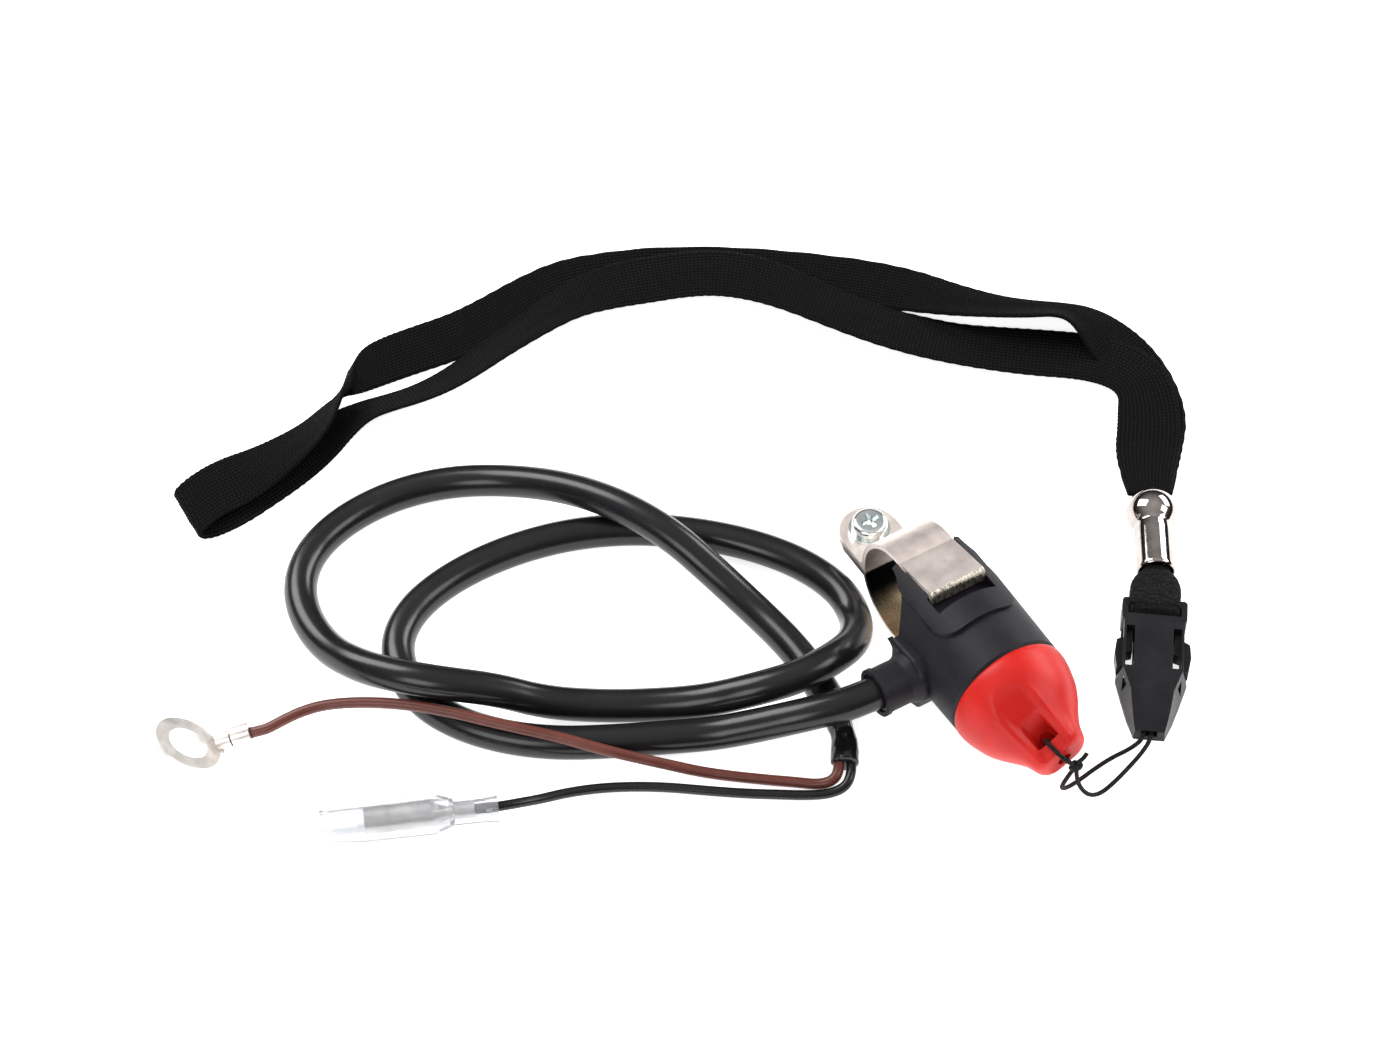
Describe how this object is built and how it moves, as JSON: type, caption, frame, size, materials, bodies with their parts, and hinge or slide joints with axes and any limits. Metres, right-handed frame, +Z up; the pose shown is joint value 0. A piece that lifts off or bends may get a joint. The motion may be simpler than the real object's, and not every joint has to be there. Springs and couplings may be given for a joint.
{
  "type": "engine kill switch with lanyard",
  "caption": "Handlebar engine kill switch with a red pull cap, a clamp for a 22 mm bar, a two-wire cable and a wrist lanyard.",
  "frame": {"origin": "centre of the handlebar bore between the moulded saddle and the two clamp bands", "axes": "+Y along the handlebar, +X along the switch body to the pull cap, +Z up from the surface it lies on"},
  "size_m": [0.1808, 0.2313, 0.028],
  "materials": {
    "housing_plastic": "fine moulded texture",
    "cap_plastic": "satin moulded red",
    "band_steel": "bright nickel, slightly warm",
    "zinc_steel": "zinc plated",
    "cable_pvc": "satin black jacket",
    "heat_shrink": "glossy wrinkled tube",
    "brown_pvc": "wire insulation",
    "black_pvc": "wire insulation",
    "tinned_brass": "tin plated",
    "clear_pvc": "clear soft sleeve",
    "contact_brass": "stamped",
    "inner_plastic": "moulded",
    "spring_steel": "drawn wire",
    "cord_nylon": "braided cord",
    "buckle_plastic": "moulded",
    "webbing": "felted webbing",
    "nickel": "polished nickel",
    "knit_tape": "knitted tape"
  },
  "bodies": {
    "switch": {"housing": "housing_plastic", "contact_carrier": "inner_plastic", "brown_terminal": "contact_brass", "black_terminal": "contact_brass", "brown_inner_lead": "brown_pvc", "black_inner_lead": "black_pvc", "plunger_spring": "spring_steel", "cable_grommet": "cable_pvc", "cable": "cable_pvc", "cable_end_sleeve": "heat_shrink", "brown_wire": "brown_pvc", "black_wire": "black_pvc", "ring_terminal": "tinned_brass", "bullet_receptacle": "tinned_brass", "connector_sleeve": "clear_pvc", "upper_clamp_band": "band_steel", "lower_clamp_band": "band_steel", "clamp_nut": "zinc_steel"},
    "washer": {"screw_washer": "zinc_steel"},
    "screw": {"clamp_screw": "zinc_steel"},
    "tether": {"pull_cap": "cap_plastic", "tether_cord": "cord_nylon", "buckle_socket": "buckle_plastic"},
    "plunger": {"plunger": "inner_plastic", "contact_bridge": "contact_brass"},
    "lanyard": {"buckle_plug": "buckle_plastic", "webbing_loop": "webbing", "ferrule": "nickel", "wrist_strap": "knit_tape"}
  },
  "joints": [
    {"name": "cap_pull", "type": "slide", "parent": "switch", "child": "tether", "axis": [1, 0, 0], "range_m": [0, 0.014]},
    {"name": "plunger_travel", "type": "slide", "parent": "switch", "child": "plunger", "axis": [1, 0, 0], "range_m": [0, 0.003], "deforming": ["plunger_spring"]},
    {"name": "buckle_release", "type": "slide", "parent": "tether", "child": "lanyard", "axis": [-0.7926, 0.6097, 0], "range_m": [0, 0.014]},
    {"name": "screw_lift", "type": "slide", "parent": "switch", "child": "washer", "axis": [0, 0, 1], "range_m": [0, 0.0028]},
    {"name": "screw_turn", "type": "hinge", "parent": "washer", "child": "screw", "pos_m": [-0.019, 0, 0], "axis": [0, 0, 1], "range_deg": [0, 1441]}
  ],
  "couplings": [
    {"joint": "plunger_travel", "follows": "cap_pull", "ratio": 0.21429},
    {"joint": "screw_turn", "follows": "screw_lift", "rad_per_m": 8976}
  ]
}
